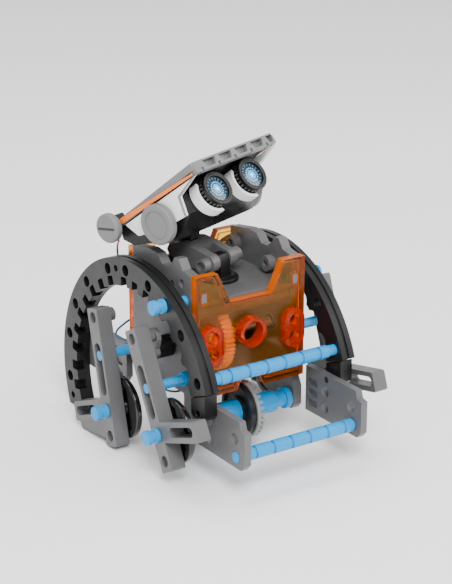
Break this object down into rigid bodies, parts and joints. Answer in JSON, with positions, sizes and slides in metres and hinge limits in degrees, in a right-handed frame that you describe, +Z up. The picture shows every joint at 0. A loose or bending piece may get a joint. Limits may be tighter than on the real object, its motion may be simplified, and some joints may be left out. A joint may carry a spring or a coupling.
{
  "type": "solar robot kit",
  "caption": "Four-legged walking toy robot with a tilting solar-panel head, clear orange gearbox covers, pierced arches and blue pegs.",
  "frame": {"origin": "under the middle of the footprint, on the ground", "axes": "+Z up, the robot faces -Y, +X to its own left as it faces -Y"},
  "size_m": [0.0892, 0.1126, 0.1093],
  "materials": {
    "grey_plastic": "satin moulded grey",
    "light_plastic": "satin light grey",
    "charcoal_plastic": "satin dark charcoal",
    "black_plastic": "semi-gloss black",
    "gloss_black": "gloss black",
    "white_plastic": "satin white",
    "orange_plastic": "gloss orange",
    "orange_clear": "clear orange plastic",
    "yellow_plastic": "gloss yellow",
    "blue_plastic": "gloss sky blue",
    "eye_glow": "printed blue pattern under gloss",
    "solar_cell": "dark blue cell under resin",
    "steel": "plain steel",
    "brass": "plain brass",
    "red_wire": "red insulation",
    "blue_wire": "dark blue insulation"
  },
  "bodies": {
    "chassis": {"body_left_half": "grey_plastic", "body_right_half": "grey_plastic", "body_screws": "steel", "front_cover": "orange_clear", "rear_cover": "orange_clear", "motor": "steel", "idler_shaft": "steel", "arch_front_left": "charcoal_plastic", "arch_front_right": "charcoal_plastic", "arch_rear_left": "charcoal_plastic", "arch_rear_right": "charcoal_plastic", "arch_clips": "black_plastic", "arch_pegs": "blue_plastic", "upper_crossbar": "blue_plastic", "lower_crossbar": "blue_plastic", "front_plate_left": "grey_plastic", "front_plate_right": "grey_plastic", "rear_plate_left": "grey_plastic", "rear_plate_right": "grey_plastic", "plate_pins": "blue_plastic", "guide_pegs": "blue_plastic", "red_wire": "red_wire", "blue_wire": "blue_wire"},
    "pinion": {"motor_pinion": "brass"},
    "idler": {"idler_gear": "white_plastic"},
    "output": {"yellow_gear": "yellow_plastic", "output_shaft": "steel", "drive_hubs": "black_plastic", "cranks": "grey_plastic"},
    "crown_axle": {"drive_axle": "steel", "axle_sleeves": "blue_plastic", "crown_disc": "charcoal_plastic", "crown_gear": "light_plastic"},
    "neck_swivel": {"neck_base": "black_plastic"},
    "neck_boom": {"neck_left_half": "grey_plastic", "neck_right_half": "grey_plastic", "neck_pins": "steel"},
    "head": {"panel_frame": "grey_plastic", "solar_cell": "solar_cell", "head_shell": "black_plastic", "side_panels": "white_plastic", "side_stripes": "orange_plastic", "side_knobs": "grey_plastic", "eye_rings": "black_plastic", "eye_lenses": "eye_glow", "eye_trims": "white_plastic", "rear_roller": "grey_plastic"},
    "leg_front_left": {"leg_front_left": "grey_plastic", "axle_peg_front_left": "blue_plastic"},
    "wheel_front_left": {"wheel_front_left": "gloss_black"},
    "leg_rear_left": {"leg_rear_left": "grey_plastic", "axle_peg_rear_left": "blue_plastic"},
    "wheel_rear_left": {"wheel_rear_left": "gloss_black"},
    "leg_front_right": {"leg_front_right": "grey_plastic", "axle_peg_front_right": "blue_plastic"},
    "wheel_front_right": {"wheel_front_right": "gloss_black"},
    "leg_rear_right": {"leg_rear_right": "grey_plastic", "axle_peg_rear_right": "blue_plastic"},
    "wheel_rear_right": {"wheel_rear_right": "gloss_black"}
  },
  "joints": [
    {"name": "output_spin", "type": "hinge", "parent": "chassis", "child": "output", "pos_m": [0, -0.0067, 0.041], "axis": [1, 0, 0], "continuous": true},
    {"name": "idler_spin", "type": "hinge", "parent": "chassis", "child": "idler", "pos_m": [0, 0.00749, 0.04616], "axis": [1, 0, 0], "continuous": true},
    {"name": "pinion_spin", "type": "hinge", "parent": "chassis", "child": "pinion", "pos_m": [0, 0.01049, 0.03496], "axis": [1, 0, 0], "continuous": true},
    {"name": "crown_axle_spin", "type": "hinge", "parent": "chassis", "child": "crown_axle", "pos_m": [0, -0.0187, 0.0158], "axis": [1, 0, 0], "continuous": true},
    {"name": "leg_front_left_swing", "type": "hinge", "parent": "chassis", "child": "leg_front_left", "pos_m": [0, -0.0171, 0.0317], "axis": [1, 0, 0], "range_deg": [-4, 12]},
    {"name": "leg_rear_left_swing", "type": "hinge", "parent": "chassis", "child": "leg_rear_left", "pos_m": [0, 0.0146, 0.0332], "axis": [1, 0, 0], "range_deg": [-4, 12]},
    {"name": "leg_front_right_swing", "type": "hinge", "parent": "chassis", "child": "leg_front_right", "pos_m": [0, -0.0173, 0.0417], "axis": [1, 0, 0], "range_deg": [-12, 4]},
    {"name": "leg_rear_right_swing", "type": "hinge", "parent": "chassis", "child": "leg_rear_right", "pos_m": [0, 0.0146, 0.0332], "axis": [1, 0, 0], "range_deg": [-12, 4]},
    {"name": "wheel_front_left_spin", "type": "hinge", "parent": "leg_front_left", "child": "wheel_front_left", "pos_m": [0, -0.02478, 0.01744], "axis": [1, 0, 0], "continuous": true},
    {"name": "wheel_rear_left_spin", "type": "hinge", "parent": "leg_rear_left", "child": "wheel_rear_left", "pos_m": [0, 0.0098, 0.01394], "axis": [1, 0, 0], "continuous": true},
    {"name": "wheel_front_right_spin", "type": "hinge", "parent": "leg_front_right", "child": "wheel_front_right", "pos_m": [0, -0.02448, 0.02197], "axis": [1, 0, 0], "continuous": true},
    {"name": "wheel_rear_right_spin", "type": "hinge", "parent": "leg_rear_right", "child": "wheel_rear_right", "pos_m": [0, 0.01114, 0.0136], "axis": [1, 0, 0], "continuous": true},
    {"name": "neck_turn", "type": "hinge", "parent": "chassis", "child": "neck_swivel", "pos_m": [0, -0.0027, 0.0595], "axis": [0, 0, 1], "range_deg": [-25, 20]},
    {"name": "neck_tilt", "type": "hinge", "parent": "neck_swivel", "child": "neck_boom", "pos_m": [0, -0.0027, 0.0665], "axis": [0.9563, 0.2924, 0], "range_deg": [-1.5, 10]},
    {"name": "head_tilt", "type": "hinge", "parent": "neck_boom", "child": "head", "pos_m": [-0.00427, 0.01126, 0.0685], "axis": [0.9563, 0.2924, 0], "range_deg": [-3, 5]}
  ],
  "couplings": [
    {"joint": "idler_spin", "follows": "output_spin", "ratio": -4},
    {"joint": "pinion_spin", "follows": "output_spin", "ratio": 14.4},
    {"joint": "leg_rear_left_swing", "follows": "leg_front_left_swing", "ratio": 1},
    {"joint": "leg_front_right_swing", "follows": "leg_front_left_swing", "ratio": -1},
    {"joint": "leg_rear_right_swing", "follows": "leg_front_left_swing", "ratio": -1}
  ]
}
